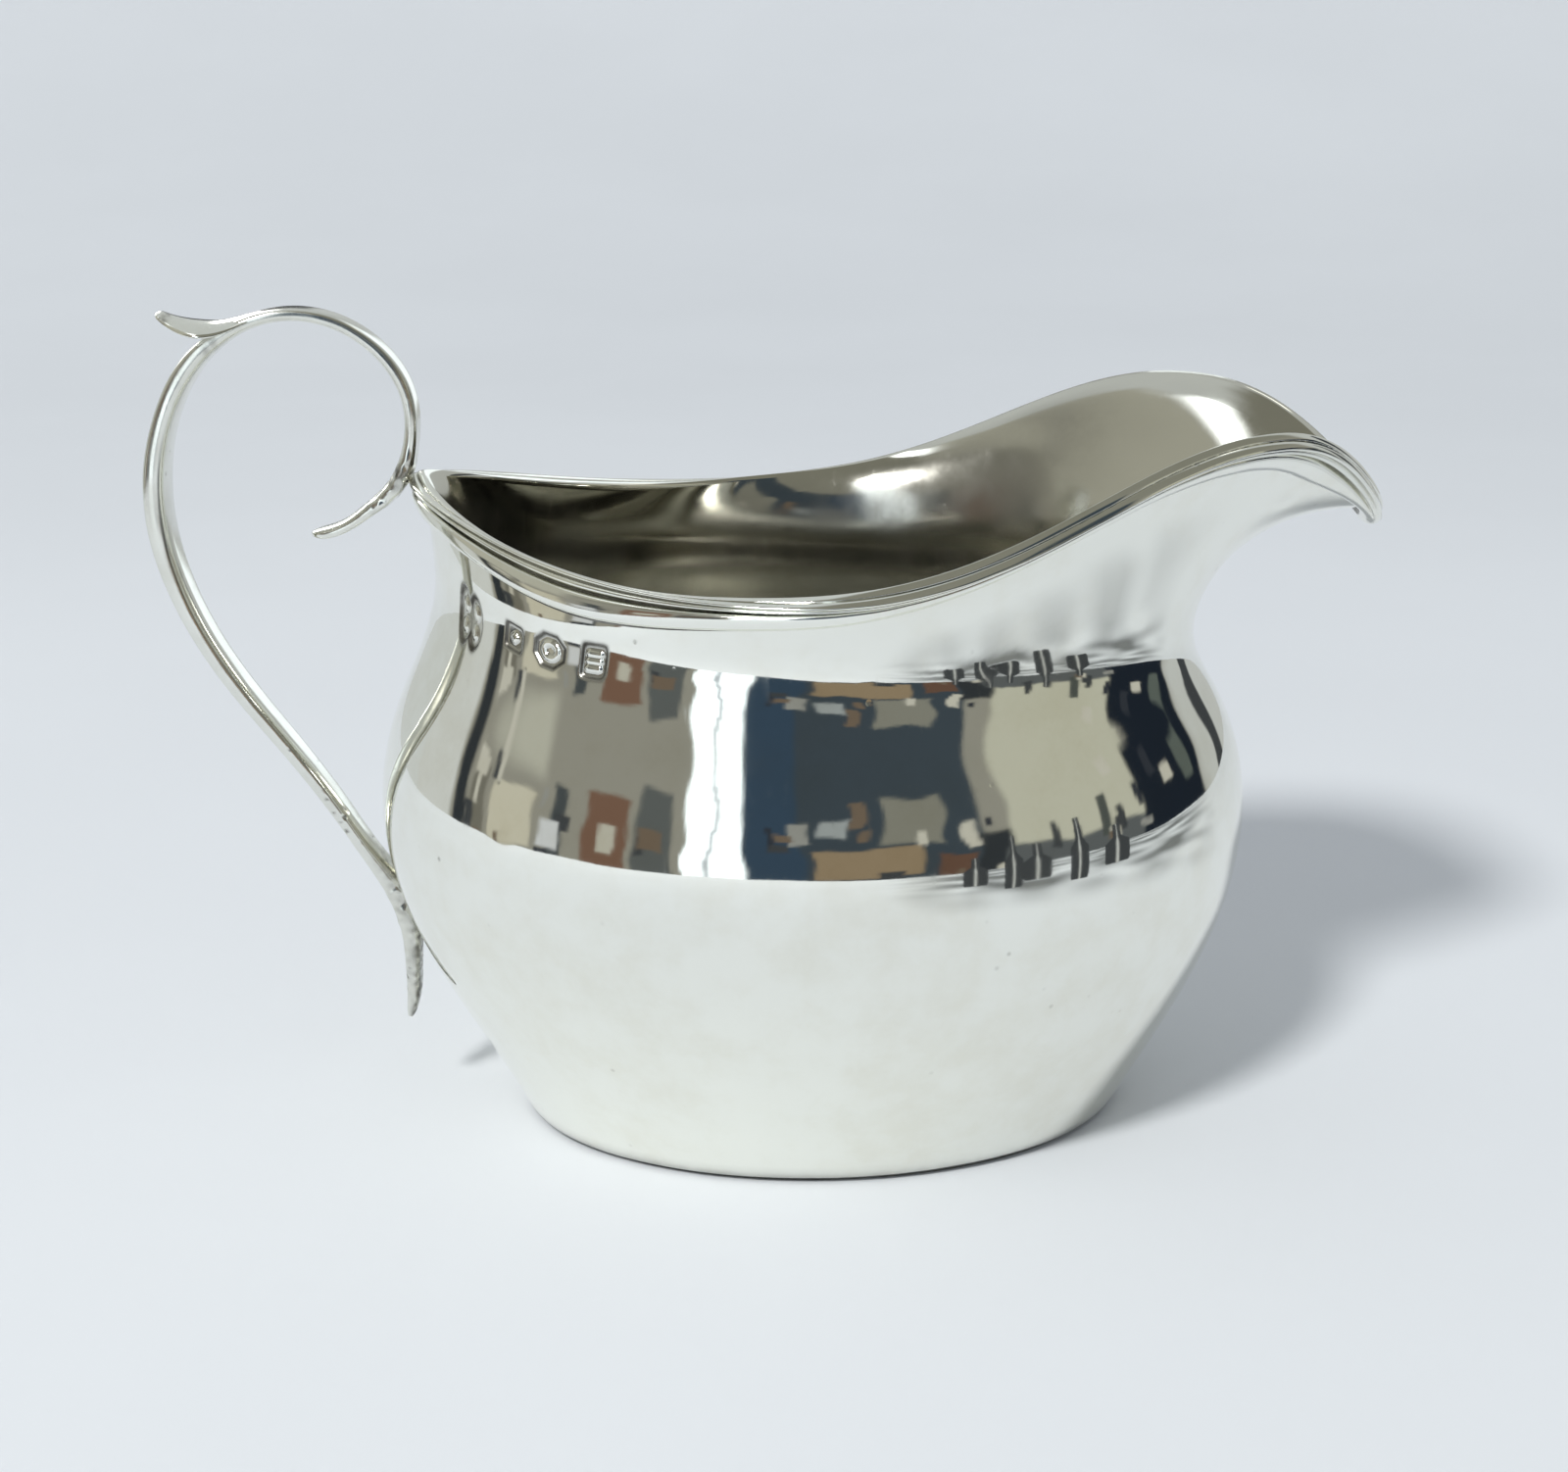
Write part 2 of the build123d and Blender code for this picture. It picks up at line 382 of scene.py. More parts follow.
def sum_up(tree, first, second, operation="ADD"):
    node = add(tree, "ShaderNodeMath", operation=operation)
    for socket, value in ((node.inputs[0], first), (node.inputs[1], second)):
        if isinstance(value, bpy.types.NodeSocket):
            tree.links.new(value, socket)
        else:
            socket.default_value = value
    return node.outputs[0]


def cloud(tree, coords, scale, detail=3.0, roughness=0.5, stretch=None):
    """Soft procedural noise in object space, optionally stretched into streaks."""
    if stretch is not None:
        mapping = add(tree, "ShaderNodeMapping")
        mapping.inputs["Scale"].default_value = stretch
        tree.links.new(coords, mapping.inputs["Vector"])
        coords = mapping.outputs["Vector"]
    node = add(tree, "ShaderNodeTexNoise")
    node.inputs["Scale"].default_value = scale
    node.inputs["Detail"].default_value = detail
    node.inputs["Roughness"].default_value = roughness
    tree.links.new(coords, node.inputs["Vector"])
    return node.outputs["Fac"]


def bump(tree, height, strength, millimetres, before=None, invert=False):
    """Relief from a height socket, laid over the relief before it."""
    node = add(tree, "ShaderNodeBump", invert=invert)
    node.inputs["Strength"].default_value = strength
    node.inputs["Distance"].default_value = millimetres * MM
    tree.links.new(height, node.inputs["Height"])
    if before is not None:
        tree.links.new(before, node.inputs["Normal"])
    return node.outputs["Normal"]


# Sizes of the silver's patterns, in repeats per metre
BROAD_CLOUDS = 45.0
BLOTCHES = 210.0
UPRIGHT_SCRATCHES = 900.0
LEVEL_SCRATCHES = 1100.0
FINE_GRAIN = 3200.0
SPECKS = 420.0
SPECK_PATCHES = 130.0


def silver_material(name, tone, dullness, film, scratch=1.0, pits=0.0):
    """Old polished silver: a film of tarnish in soft clouds, dark grime and painted shade where the mesh says
    so, fine wiping scratches, scattered specks and pits, and a roughness that varies with all of them."""
    colours = bpy.context.scene.jug_colours
    material = bpy.data.materials.new(name)
    material.use_nodes = True
    tree = material.node_tree
    shader = tree.nodes["Principled BSDF"]
    shader.inputs["Metallic"].default_value = 1.0
    coords = add(tree, "ShaderNodeTexCoord").outputs["Object"]
    # The mesh layer read here pulls the colour towards tarnish: real tarnish in marks, joints, pits and
    # grooves, and painted shade at the foot, deep inside the bowl, under the moulding's bead and on the
    # handle's stem where it faces the bowl.
    grime_and_shade = add(tree, "ShaderNodeAttribute", attribute_name="grime_and_shade").outputs["Fac"]

    broad = cloud(tree, coords, BROAD_CLOUDS, 4.0, 0.55)
    blotch = cloud(tree, coords, BLOTCHES, 5.0, 0.62)
    streak_a = cloud(tree, coords, UPRIGHT_SCRATCHES, 2.0, 0.6, (1.0, 1.0, 0.06))
    streak_b = cloud(tree, coords, LEVEL_SCRATCHES, 2.0, 0.6, (0.07, 0.5, 1.0))
    fine = cloud(tree, coords, FINE_GRAIN, 3.0, 0.6)
    speck_source = add(tree, "ShaderNodeTexVoronoi", feature="F1")
    speck_source.inputs["Scale"].default_value = SPECKS
    speck_source.inputs["Randomness"].default_value = 1.0
    tree.links.new(coords, speck_source.inputs["Vector"])
    speck = spread(tree, speck_source.outputs["Distance"], 0.05, 0.16, 1.0, 0.0)
    patches = cloud(tree, coords, SPECK_PATCHES, 2.0)
    where = spread(tree, patches, 0.6, 0.72, 0.0, 1.0)
    speck = sum_up(tree, speck, where, "MULTIPLY")

    film_mask = spread(tree, sum_up(tree, broad, blotch), 0.85, 1.35, 0.0, film)
    base = blend_colour(tree, film_mask, tone, colours.warm_silver)
    patchy = spread(tree, blotch, 0.25, 0.75, 0.75, 1.15)
    broken = sum_up(tree, grime_and_shade, patchy, "MULTIPLY")
    base = blend_colour(tree, broken, base, colours.tarnish)
    faint = sum_up(tree, speck, 0.35, "MULTIPLY")
    base = blend_colour(tree, faint, base, colours.tarnish)
    tree.links.new(base, shader.inputs["Base Color"])

    rough = spread(tree, blotch, 0.3, 0.75, dullness, dullness * 1.9)
    rough = sum_up(tree, rough, sum_up(tree, broken, 0.32, "MULTIPLY"))
    rough = sum_up(tree, rough, sum_up(tree, speck, 0.25, "MULTIPLY"))
    scratch_mask = spread(tree, streak_a, 0.6, 0.78, 0.0, 0.05)
    tree.links.new(sum_up(tree, rough, scratch_mask), shader.inputs["Roughness"])

    height = sum_up(tree, streak_a, streak_b)
    height = sum_up(tree, height, sum_up(tree, fine, 0.5, "MULTIPLY"))
    normal = bump(tree, height, 0.035 * scratch, 0.02)
    normal = bump(tree, broad, 0.35, 0.035, normal)
    normal = bump(tree, speck, 0.25 + pits, 0.06, normal, invert=True)
    tree.links.new(normal, shader.inputs["Normal"])
    return material


# ---- the pieces


# Spacing of the mesh over the marks, where it lies, and how far the lobed mark's two halves stand apart
MARK_COLUMN = 0.15
MARK_LEVELS = (4.2, 13.0)
LOBE_OFFSET = 0.44
# The wall's mesh keeps to fixed distances below the rim as far down as this
FIXED_BELOW = 14.0
FOOT_SOFTNESS = 0.9
FOOT_ROUNDING = 0.45
RIM_SOFTNESS = 0.05
# How many times longer than tall the streaks and stains inside the bowl are
STREAK = 4.5
STAIN = 3.0
# Shallow dents: turn round the jug, distance below the rim, half width, strength
DENTS = [
    (-0.6, 24.0, 2.4, 1.0),
    (-1.15, 20.0, 1.6, 0.9),
    (-1.9, 33.0, 2.2, 0.8),
    (-2.3, 26.0, 1.7, 0.9),
    (-0.35, 9.0, 1.3, 1.6),
    (0.5, 12.0, 1.5, 1.2),
    (0.9, 26.0, 2.6, 1.0),
    (1.7, 31.0, 2.0, 0.9),
    (2.5, 24.0, 1.8, 1.1),
]


def outline_distance(kind, across, up):
    """How far outside a mark's outline a place lies; across and up are shares of the mark's half sizes."""
    if kind == "lobes":
        return min(
            hypot((across - side * LOBE_OFFSET) / (1 - LOBE_OFFSET), up / (1.0 - 0.04 * side)) - 1
            for side in (-1, 1)
        )
    if kind == "octagon":
        return max(abs(across), abs(up), (abs(across) + abs(up)) / 1.42) - 1
    return (abs(across) ** 6 + abs(up) ** 6) ** (1 / 6) - 1


def motif_height(kind, across, up):
    """Height of a mark's raised motif, from 0 to 1."""
    if kind == "dots":
        return max(
            1 - smooth_step(0.14, 0.3, hypot((across - side * LOBE_OFFSET) * 1.1, abs(up) - 0.34))
            for side in (-1, 1)
        )
    if kind == "lozenge":
        return 1 - smooth_step(0.35, 0.55, abs(across) + abs(up))
    if kind == "ring":
        return 1 - smooth_step(0.08, 0.2, abs(hypot(across, up) - 0.45))
    nearest_bar = min(abs(up - 0.4), abs(up), abs(up + 0.4))
    return 1 - smooth_step(0.1, 0.24, nearest_bar + max(0.0, abs(across) - 0.5))


def mark_relief(turn_degrees, below, ring_radius):
    """Depth of the struck marks, as a share of the full depth, and how grimy the place is."""
    depth, grime_and_shade = 0.0, 0.0
    for at_turn, at_below, half_width, half_height, outline, motif in MARKS:
        across = radians(turn_degrees - at_turn) * ring_radius / half_width
        up = (at_below - below) / half_height
        if abs(across) > 1.4 or abs(up) > 1.4:
            continue
        outside = outline_distance(outline, across, up)
        floor = 1 - smooth_step(-0.2, 0.02, outside)
        raised = motif_height(motif, across, up) * (1 - smooth_step(-0.3, -0.15, outside))
        depth = max(depth, floor * (1 - 0.85 * raised))
        edge = exp(-((outside + 0.06) / 0.14) ** 2)
        grime_and_shade = max(grime_and_shade, edge + 0.28 * floor * (1 - raised))
    return depth, grime_and_shade


def marked_turns(count):
    """Angles round the jug: even steps, with fine ones across the marks."""
    places = set(round(-180 + 360 * i / count, 5) for i in range(count))
    low = min(mark[0] for mark in MARKS) - 7
    high = max(mark[0] for mark in MARKS) + 5
    places = set(place for place in places if not low < place < high)
    fine = int((high - low) * radians(1) * 36 / MARK_COLUMN)
    places.update(round(low + (high - low) * i / fine, 5) for i in range(fine + 1))
    return sorted(places)


def marked_levels(count, length):
    """Distances below the rim, closer together over the marks, as shares of the meridian's length."""
    low, high = MARK_LEVELS
    coarse = [length * i / count for i in range(count + 1)]
    places = [place for place in coarse if not low < place < high]
    fine = int((high - low) / MARK_COLUMN)
    places += [low + (high - low) * i / fine for i in range(fine + 1)]
    return np.array(sorted(set(round(place, 5) for place in places)))


class JUG_OT_body(bpy.types.Operator):
    """Raised wall of the bowl, neck and spout, with its thickness, dents and struck marks"""

    bl_idname = "jug.body"
    bl_label = "Body"

    def execute(self, context):
        sizes = context.scene.jug_sizes
        colours = context.scene.jug_colours
        wall = sizes.wall / MM
        turns = marked_turns(sizes.turns)
        reference = Meridian(pi / 2).length
        levels = marked_levels(sizes.levels, reference)
        columns = []
        for turn_degrees in turns:
            turn = radians(turn_degrees)
            length = Meridian(turn).length
            # Fixed distances near the rim, stretched below so that every column ends at the foot
            stretch = (length - FIXED_BELOW) / (reference - FIXED_BELOW)
            below = np.where(levels < FIXED_BELOW, levels, FIXED_BELOW + (levels - FIXED_BELOW) * stretch)
            places, out = wall_frame(turn, below)
            column_out, column_in, outside_marks_and_shade, inside_stains_and_shade = [], [], [], []
            for i, (place, normal) in enumerate(zip(places, out)):
                radius = hypot(place[0], place[1])
                push, grime_and_shade = 0.0, 0.0
                if -165 < turn_degrees < -112 and below[i] < FIXED_BELOW:
                    depth, grime_and_shade = mark_relief(turn_degrees, below[i], radius)
                    push -= depth * sizes.mark_depth / MM
                for at_turn, at_below, size, strength in DENTS:
                    gap = hypot((turn - at_turn) * radius, below[i] - at_below) / size
                    if gap < 3:
                        push -= strength * sizes.dent_depth / MM * exp(-gap * gap)
                hammer = 0.04 * ripple(place, 12.0, 3) + 0.012 * ripple(place, 5.0, 8)
                push += hammer * smooth_step(3.5, 7.0, below[i])
                above_foot = max(0.0, 1 - (length - below[i]) / FOOT_SOFTNESS)
                push -= FOOT_ROUNDING * above_foot**2
                column_out.append(place + normal * push)
                # Painted contact shade: darker over the last few millimetres above the table, strongest at
                # the very edge; the marks' tarnish shares this layer.
                foot = 0.35 * smooth_step(length - 2.5, length, below[i]) + 0.6 * above_foot
                outside_marks_and_shade.append(min(1.0, max(grime_and_shade, foot)))
                streaks = 0.02 * ripple((place[0] / STREAK, place[1] / STREAK, place[2]), 3.6, 9)
                streaks += 0.03 * ripple(place, 10.0, 10)
                streaks *= smooth_step(2.0, 7.0, below[i]) * smooth_step(length, length - 4.0, below[i])
                column_in.append(place - normal * (wall + streaks))
                # Inside: painted shade in the bottom corner and, away from the spout, deeper down the wall,
                # broken by cloudy tarnish stains.
                corner = smooth_step(length - 4.0, length - 0.6, below[i])
                tucked = smooth_step(0.92, 0.45, cos(turn)) * smooth_step(1.0, 6.0, below[i])
                cloudy = ripple((place[0] / STAIN, place[1] / STAIN, place[2]), 3.2, 17)
                stain_and_shade = 0.24 + 0.16 * smooth_step(4.0, 12.0, below[i]) + 0.3 * cloudy
                inside_stains_and_shade.append(max(0.55 * corner, min(0.5, max(0.0, stain_and_shade)) * tucked))
            columns.append((column_out, column_in, outside_marks_and_shade, inside_stains_and_shade))
        self.build(columns, colours)
        return {"FINISHED"}

    def build(self, columns, colours):
        """Joins outside and inside over a softened rim edge and across the foot."""
        outer, inner, outer_marks_and_shade, inner_stains_and_shade = (np.array(part) for part in zip(*columns))
        count, levels = outer_marks_and_shade.shape
        verts, grime_and_shade, rows = [], [], []
        for level in reversed(range(levels)):
            rows.append((outer[:, level], outer_marks_and_shade[:, level]))
        top_out = outer[:, 0]
        top_in = inner[:, 0]
        across = top_in - top_out
        down_out = outer[:, 1] - outer[:, 0]
        down_out /= np.linalg.norm(down_out, axis=1, keepdims=True)
        rim_edge = ((0.08, 1.0), (0.3, 1.6), (0.7, 1.6), (0.9, 0.8))
        for share, lift in rim_edge:
            rows.append((top_out + across * share - down_out * (RIM_SOFTNESS * lift), [0.0] * count))
        for level in range(levels):
            rows.append((inner[:, level], inner_stains_and_shade[:, level]))
        for row, row_grime in rows:
            verts.extend(row * MM)
            grime_and_shade.extend(row_grime)
        faces = ring_faces(len(rows), count, closed_rings=True)
        material = silver_material("wall silver", colours.silver, 0.03, 0.55)
        piece = make_piece("body", verts, faces, material, "body", grime_and_shade)
        inside = silver_material("inside silver", colours.inside, 0.05, 0.35, 1.6)
        piece.data.materials.append(inside)
        first_inside = (levels + len(rim_edge)) * count
        for face in piece.data.polygons:
            if min(face.vertices) >= first_inside:
                face.material_index = 1


class JUG_OT_base_plate(bpy.types.Operator):
    """Flat oval sheet let into the foot, a little uneven, with the solder seam at its edge"""

    bl_idname = "jug.base_plate"
    bl_label = "Base plate"

    def execute(self, context):
        sizes = context.scene.jug_sizes
        colours = context.scene.jug_colours
        height, back, front, half_width = FOOT
        inset = sizes.base_inset / MM
        sheet = sizes.base_sheet / MM
        steps = 160
        shares = [0.0015] + [i / 26 for i in range(1, 24)] + [0.93, 0.96, 0.98, 0.992, 1.0]
        profile = [(share, 0.0) for share in shares] + [(1.0, 0.35), (1.002, sheet - 0.1)]
        profile += [(share, sheet) for share in reversed(shares)]
        verts, grime_and_shade = [], []
        for index, (share, level) in enumerate(profile):
            for step in range(steps):
                turn = 2 * pi * step / steps
                x = ((front - back) / 2 + (front + back) / 2 * cos(turn)) * share
                y = half_width * sin(turn) * share
                edge = hypot(x, y)
                pull = 1 - inset * share / max(edge, 0.1)
                x *= pull
                y *= pull
                top = index > len(shares)
                dip = 0.05 * ripple((x, y, 0), 11.0, 5) + 0.05 * (1 - share * share) if share < 0.99 else 0.0
                sag = 0.12 * (1 + ripple((x, y, 3), 14.0, 6)) * (1 - share**6) * (1 if top else -0.6)
                z = level - sag + dip * 0.4
                verts.append((x * MM, y * MM, max(0.0, z) * MM))
                grime_and_shade.append(0.45 * smooth_step(0.9, 1.0, share) + (0.12 if top else 0.2))
        faces = capped_faces(len(profile), steps)
        material = silver_material("base silver", colours.inside, 0.2, 0.7, 2.2, 0.1)
        make_piece("base_plate", verts, faces, material, "base_plate", grime_and_shade)
        return {"FINISHED"}


class JUG_OT_rim_moulding(bpy.types.Operator):
    """Reeded strip round the rim: two reeds and a wide bead by the handle, one thick bead at the lip"""

    bl_idname = "jug.rim_moulding"
    bl_label = "Rim moulding"

    def depth(self, sizes, turn):
        front = (1 + cos(turn)) / 2
        growth = sizes.moulding_at_side - sizes.moulding_at_back
        depth = sizes.moulding_at_back + growth * smooth_step(0, 0.8, front)
        return (depth + (sizes.moulding_at_tip - depth) * self.at_tip(turn)) / MM

    def at_tip(self, turn):
        """1 at the lip's tip, 0 away from it."""
        around = abs(atan2(sin(turn), cos(turn)))
        return 1 - smooth_step(0.15, 0.52, around)

    def execute(self, context):
        sizes = context.scene.jug_sizes
        colours = context.scene.jug_colours
        steps = 720
        verts, grime_and_shade = [], []
        for step in range(steps):
            turn = -pi + 2 * pi * step / steps
            depth = self.depth(sizes, turn)
            bead = self.at_tip(turn)
            below = np.array([share * depth for share, _ in REEDS])
            places, out = wall_frame(turn, below)
            for i, (share, stand) in enumerate(REEDS):
                round_bead = sin(pi * min(1.0, share * 0.86 + 0.14)) ** 0.5 if share > 0 else stand
                stand += (round_bead - stand) * bead
                uneven = 0.02 * ripple(places[i], 2.6, 4) * (stand > 0.2)
                push = sizes.moulding_stand / MM * max(0.0, stand + uneven) * (1 + 0.55 * bead)
                verts.append((places[i] + out[i] * push) * MM)
                groove = exp(-((share - 0.345) / 0.028) ** 2) * (1 - bead)
                thin = 0.75 * exp(-((share - 0.13) / 0.018) ** 2) * (1 - bead)
                # Painted shade under the bead's lower edge, laid along the solder seam.
                seam = 0.95 * smooth_step(0.925, 0.95, share)
                grime_and_shade.append(min(1.0, max(0.95 * groove, thin, seam)))
        faces = ring_faces(steps, len(REEDS), closed_rings=True)
        material = silver_material("moulding silver", colours.silver, 0.07, 0.5, 1.3)
        make_piece("rim_moulding", verts, faces, material, "rim_moulding", grime_and_shade)
        return {"FINISHED"}


def sweep(stations, section, count):
    """Rings of points along a bar in the jug's middle plane, from rounded end to rounded end."""
    stations = np.array(stations)
    places = 0.5 - 0.5 * np.cos(np.pi * np.linspace(0, 1, count))
    places = 0.5 * places + 0.5 * np.linspace(0, 1, count)
    line = smooth_line(stations[:, :2], places)
    across = smooth_line(stations[:, :3], places)[:, 2]
    thick = smooth_line(stations[:, [0, 1, 3]], places)[:, 2]
    headings = np.gradient(line, axis=0)
    headings /= np.linalg.norm(headings, axis=1, keepdims=True)
    return [
        section(share, point, heading, wide, deep)
        for share, point, heading, wide, deep in zip(places, line, headings, across, thick)
    ]


STRAP_POINTS = 40


def strap_ring(share, point, heading, wide, deep):
    """Flat with soft corners towards the fingers, crowned on the outside."""
    ends = min(share, 1 - share) / 0.012
    shrink = (1 - (1 - min(1.0, ends)) ** 2) ** 0.5
    inward = np.array([heading[1], -heading[0]])
    ring = []
    for i in range(STRAP_POINTS):
        angle = 2 * pi * i / STRAP_POINTS
        side = cos(angle)
        y = wide / 2 * (1 if side >= 0 else -1) * abs(side) ** 0.55
        rise = sin(angle)
        flat = abs(rise) ** 0.42 if rise > 0 else -(abs(rise) ** 0.8)
        out = deep / 2 * flat
        y *= 0.25 + 0.75 * shrink
        out *= 0.3 + 0.7 * shrink
        ring.append(np.array([point[0] + inward[0] * out, y, point[1] + inward[1] * out]))
    return ring


# Solder on the strap: distance along the jug, height, reach, how proud, how grimy
SOLDER = [
    (-41.3, 67.3, 1.9, 0.28, 1.1),
    (-43.6, 65.0, 2.2, 0.18, 0.55),
    (-43.3, 22.0, 2.6, 0.3, 0.55),
    (-43.2, 15.0, 3.5, 0.08, 0.45),
    (-59.5, 81.2, 2.0, 0.0, 0.5),
]


def finish_strap(rings):
    """Adds solder swellings, small pits and file marks, and says where grime gathers and where shade is
    painted.
    """
    verts, grime_and_shade = [], []
    for ring in rings:
        centre = np.mean(ring, axis=0)
        for place in ring:
            out = place - centre
            out /= max(np.linalg.norm(out), 1e-6)
            push, dark = 0.0, 0.15
            for x, z, reach, proud, grimy in SOLDER:
                gap = hypot(place[0] - x, place[2] - z) / reach
                near = exp(-gap * gap)
                push += proud * near * (0.6 + 0.8 * ripple(place, 0.9, 11))
                patchy = 0.5 + 0.9 * ripple(place, 0.8, 12)
                dark = max(dark, grimy * near * min(1.0, max(0.15, patchy)))
            pit = ripple(place, 0.55, 13) * (0.6 + 0.6 * ripple(place, 5.0, 14))
            low_stem = smooth_step(30.0, 12.0, place[2])
            upper_tail = 1.0 if place[0] > -52 and place[2] < 66 else 0.0
            pitted = max(0.0, pit - 0.3) * (0.35 + 1.3 * max(low_stem, upper_tail))
            push -= 0.22 * pitted
            dark = max(dark, min(0.9, 2.2 * pitted))
            push += 0.02 * ripple(place, 3.0, 15)
            # Painted shade, patchy like tarnish, on the side of the lower stem that faces the bowl.
            facing_bowl = smooth_step(-0.35, 0.35, out[0]) * smooth_step(34.0, 22.0, place[2])
            dark = max(dark, facing_bowl * (0.55 + 0.6 * ripple(place, 0.7, 16)))
            verts.append((place + out * push) * MM)
            grime_and_shade.append(min(1.0, dark))
    return verts, grime_and_shade


class JUG_OT_handle(bpy.types.Operator):
    """Flying-scroll strap: upper tail, loop over the rim, long stem and lower tail"""

    bl_idname = "jug.handle"
    bl_label = "Handle"

    def execute(self, context):
        colours = context.scene.jug_colours
        rings = sweep(STRAP, strap_ring, 520)
        verts, grime_and_shade = finish_strap(rings)
        faces = capped_faces(len(rings), STRAP_POINTS)
        material = silver_material("handle silver", colours.silver, 0.075, 0.6, 1.6, 0.2)
        make_piece("handle", verts, faces, material, "handle", grime_and_shade)
        return {"FINISHED"}


LEAF_POINTS = 36


def leaf_ring(share, point, heading, wide, deep):
    """Dished on top with a thin rolled edge, so that the thumb sits in it."""
    ends = min(share, 1 - share) / 0.05
    shrink = max(0.08, (1 - (1 - min(1.0, ends)) ** 2) ** 0.5)
    up = np.array([heading[1], -heading[0]])
    ring = []
    for i in range(LEAF_POINTS):
        angle = 2 * pi * i / LEAF_POINTS
        y = wide / 2 * cos(angle) * (0.3 + 0.7 * shrink)
        dish = 0.10 * wide * (cos(angle) ** 2 - 0.5)
        rib = -0.1 * exp(-((cos(angle) / 0.12) ** 2)) if sin(angle) > 0 else 0.0
        body = deep / 2 * (1 if sin(angle) >= 0 else -1) * abs(sin(angle)) ** 0.7 * shrink
        rise = body + (dish + rib) * shrink
        ring.append(np.array([point[0] - up[0] * rise, y, point[1] - up[1] * rise]))
    return ring


class JUG_OT_thumbpiece(bpy.types.Operator):
    """Leaf soldered on the shoulder of the loop, dished on top, with a turned-up tip"""

    bl_idname = "jug.thumbpiece"
    bl_label = "Thumbpiece"

    def execute(self, context):
        colours = context.scene.jug_colours
        rings = sweep(LEAF, leaf_ring, 120)
        verts, grime_and_shade = [], []
        for index, ring in enumerate(rings):
            share = index / (len(rings) - 1)
            for place in ring:
                spot = exp(-((share - 0.86) / 0.05) ** 2) * (0.5 + ripple(place, 0.7, 21))
                root = 0.35 * (1 - smooth_step(0.0, 0.2, share))
                verts.append(place * MM)
                grime_and_shade.append(max(0.03, min(0.8, max(root, 0.6 * spot))))
        faces = capped_faces(len(rings), LEAF_POINTS)
        material = silver_material("thumbpiece silver", colours.silver, 0.08, 0.5, 1.6, 0.1)
        make_piece("thumbpiece", verts, faces, material, "thumbpiece", grime_and_shade)
        return {"FINISHED"}


# ---- table, room, lights, camera


# The camera in metres, and the directions of its right and its top
CAMERA_PLACE = (-0.00574, -0.2644, 0.11324)
CAMERA_RIGHT = (0.99983, -0.01266, -0.01355)
CAMERA_UP = (0.01645, 0.26872, 0.96308)
SENSOR = 36.0
FLAT_RADIUS = 0.4
DISH_RADIUS = 1.5
DISH_HEIGHT = 0.6


def table_material(colour):
    """Pale matt sheet with the faintest cloudiness and a soft grain."""
    material = bpy.data.materials.new("table sheet")
    material.use_nodes = True
    tree = material.node_tree
    shader = tree.nodes["Principled BSDF"]
    shader.inputs["Specular IOR Level"].default_value = 0.0
    coords = add(tree, "ShaderNodeTexCoord").outputs["Object"]
    clouds = cloud(tree, coords, 7.0, 3.0)
    grain = cloud(tree, coords, 1400.0, 2.0)
    mask = spread(tree, clouds, 0.3, 0.7, 0.0, 1.0)
    darker = tuple(c * 0.975 for c in colour)
    tree.links.new(blend_colour(tree, mask, colour, darker), shader.inputs["Base Color"])
    tree.links.new(spread(tree, grain, 0.3, 0.7, 0.6, 0.75), shader.inputs["Roughness"])
    tree.links.new(bump(tree, grain, 0.06, 0.05), shader.inputs["Normal"])
    return material


# The room as the silver sees it: bearing in degrees (0 towards the viewer, growing to the right), half width,
# lowest and highest elevation, softness of the edges, colour
CEILING = (0.22, 0.22, 0.185)
LOW_ROOM = (0.27, 0.265, 0.23)
ROOM = [
    (-145, 38, -12, 76, 9, (0.58, 0.61, 0.61)),
    (148, 36, -12, 72, 9, (0.50, 0.52, 0.51)),
    (-92, 26, 16, 62, 5, (0.43, 0.43, 0.37)),
    (-106, 9, -10, 15, 2, (0.58, 0.60, 0.59)),
    (-74, 6.5, -3, 12, 1.0, (0.52, 0.50, 0.41)),
    (-93, 2.4, -10, 15, 0.9, (0.03, 0.035, 0.04)),
    (-86, 3, -8, 12, 1.2, (0.16, 0.155, 0.13)),
    (-60, 2, -8, 16, 1.0, (0.06, 0.07, 0.075)),
    (-47, 5.5, -8, 17, 0.8, (0.17, 0.10, 0.07)),
    (-47, 2.0, 0, 9, 0.6, (0.45, 0.44, 0.38)),
    (-36, 4, -8, 22, 1.0, (0.10, 0.11, 0.11)),
    (10, 27, -8, 33, 2.0, (0.045, 0.06, 0.075)),
    (-9, 6, -8, 30, 1.5, (0.035, 0.06, 0.095)),
    (11, 12, -3, 7, 0.8, (0.26, 0.20, 0.13)),
    (22, 7, 8, 22, 1.2, (0.21, 0.21, 0.18)),
    (5, 3, 12, 17, 0.8, (0.30, 0.33, 0.34)),
    (30, 4, -6, 4, 0.8, (0.12, 0.07, 0.05)),
    (42, 7, -10, 9, 1.4, (0.03, 0.035, 0.04)),
    (64, 20, 2, 28, 2.0, (0.47, 0.47, 0.39)),
    (64, 22, -12, 3, 1.5, (0.10, 0.11, 0.115)),
    (55, 1.2, 0, 9, 0.6, (0.05, 0.055, 0.06)),
    (69, 1.6, 0, 12, 0.6, (0.07, 0.08, 0.075)),
    (74, 1.0, 0, 7, 0.6, (0.04, 0.045, 0.05)),
    (97, 15, -12, 19, 1.6, (0.012, 0.017, 0.026)),
    (104, 3, 2, 12, 1.0, (0.10, 0.12, 0.11)),
    (-22, 6.5, -9, 46, 1.2, (1.5, 1.65, 1.75)),
    (-22, 0.5, -9, 46, 0.4, (0.5, 0.55, 0.6)),
    (168, 9, -2, 40, 1.5, (1.2, 1.3, 1.35)),
]
